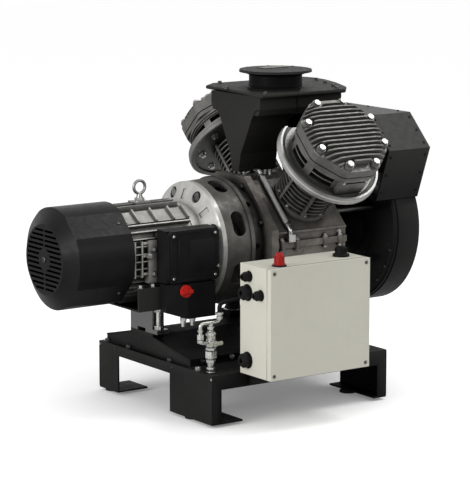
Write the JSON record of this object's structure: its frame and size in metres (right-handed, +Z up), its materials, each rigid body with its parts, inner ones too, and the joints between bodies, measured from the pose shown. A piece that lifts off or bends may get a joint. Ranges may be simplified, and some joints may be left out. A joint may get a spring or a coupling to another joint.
{
  "type": "reciprocating air compressor",
  "caption": "V-twin piston air compressor on a folded steel base, driven by a flanged electric motor, with an intake hopper, a fan shroud and a control box.",
  "frame": {"origin": "bottom centre of the bounding box, on the floor below the unit", "axes": "+X along the crank axis from the motor cowl to the cooling fan, +Z up, the control box on the -Y side"},
  "size_m": [1.125, 0.9202, 0.911],
  "materials": {
    "black_frame": "semi-gloss black powder coat",
    "cowl_black": "gloss black",
    "box_paint": "light grey-beige powder coat",
    "dark_plastic": "matt black",
    "red_plastic": "glossy red",
    "cast_alu": "as-cast aluminium, satin",
    "machined": "turned aluminium",
    "steel": "machined steel",
    "zinc": "bright zinc plate",
    "laminations": "varnished laminations",
    "rubber": "matt"
  },
  "bodies": {
    "unit": {"base_frame": "black_frame", "engine_bed": "black_frame", "motor_cradle": "black_frame", "fan_shroud": "black_frame", "shroud_nose": "black_frame", "shroud_stays": "black_frame", "intake_hopper": "black_frame", "hopper_lid": "black_frame", "intake_neck": "black_frame", "neck_cover": "black_frame", "hopper_stand": "black_frame", "box_brackets": "black_frame", "fan_cowl": "cowl_black", "fan_guard": "cowl_black", "control_box": "box_paint", "control_box_lid": "box_paint", "terminal_box": "dark_plastic", "terminal_lid": "dark_plastic", "switch_box": "dark_plastic", "cable_glands": "dark_plastic", "box_cap": "dark_plastic", "drain_pipe": "dark_plastic", "indicator_lamp": "red_plastic", "motor_housing": "cast_alu", "drive_end_shield": "cast_alu", "rear_shield": "cast_alu", "bell_housing": "cast_alu", "head_right": "cast_alu", "head_left": "cast_alu", "head_cover_right": "cast_alu", "head_cover_left": "cast_alu", "cylinder_right": "cast_alu", "cylinder_left": "cast_alu", "crankcase_upper": "cast_alu", "crankcase_lower": "cast_alu", "ring_plate_right": "machined", "ring_plate_left": "machined", "shaft_bearings": "steel", "motor_block": "steel", "eye_bolt": "zinc", "flange_bolts": "zinc", "head_bolts": "zinc", "drain_valve": "zinc", "breather_tube": "zinc", "stator": "laminations", "floor_pads": "rubber", "rubber_mounts": "rubber"},
    "crank_train": {"motor_rotor": "steel", "motor_fan": "dark_plastic", "motor_hub": "steel", "coupling_spider": "rubber", "crank_hub": "steel", "crankshaft": "steel", "cooling_fan": "cast_alu"},
    "right_rod": {"con_rod_right": "steel"},
    "left_rod": {"con_rod_left": "steel"},
    "right_piston": {"piston_right": "cast_alu"},
    "left_piston": {"piston_left": "cast_alu"},
    "knob": {"switch_knob": "red_plastic"},
    "handle": {"drain_handle": "zinc"}
  },
  "joints": [
    {"name": "crank_spin", "type": "hinge", "parent": "unit", "child": "crank_train", "pos_m": [0.0305, 0.0507, 0.437], "axis": [1, 0, 0], "continuous": true},
    {"name": "right_rod_turn", "type": "hinge", "parent": "crank_train", "child": "right_rod", "pos_m": [0.2155, 0.0507, 0.413], "axis": [1, 0, 0], "continuous": true},
    {"name": "left_rod_turn", "type": "hinge", "parent": "crank_train", "child": "left_rod", "pos_m": [0.2415, 0.0507, 0.413], "axis": [1, 0, 0], "continuous": true},
    {"name": "right_piston_slide", "type": "slide", "parent": "unit", "child": "right_piston", "axis": [0, -0.7071, 0.7071], "range_m": [-0.007, 0.041]},
    {"name": "left_piston_slide", "type": "slide", "parent": "unit", "child": "left_piston", "axis": [0, 0.7071, 0.7071], "range_m": [-0.007, 0.041]},
    {"name": "knob_turn", "type": "hinge", "parent": "unit", "child": "knob", "pos_m": [-0.2335, -0.1443, 0.345], "axis": [0, 1, 0], "range_deg": [0, 90]},
    {"name": "handle_turn", "type": "hinge", "parent": "unit", "child": "handle", "pos_m": [-0.2395, -0.2893, 0.226], "axis": [0, 1, 0], "range_deg": [0, 90]}
  ],
  "couplings": [
    {"joint": "right_rod_turn", "follows": "crank_spin", "ratio": -1},
    {"joint": "left_rod_turn", "follows": "crank_spin", "ratio": -1}
  ]
}
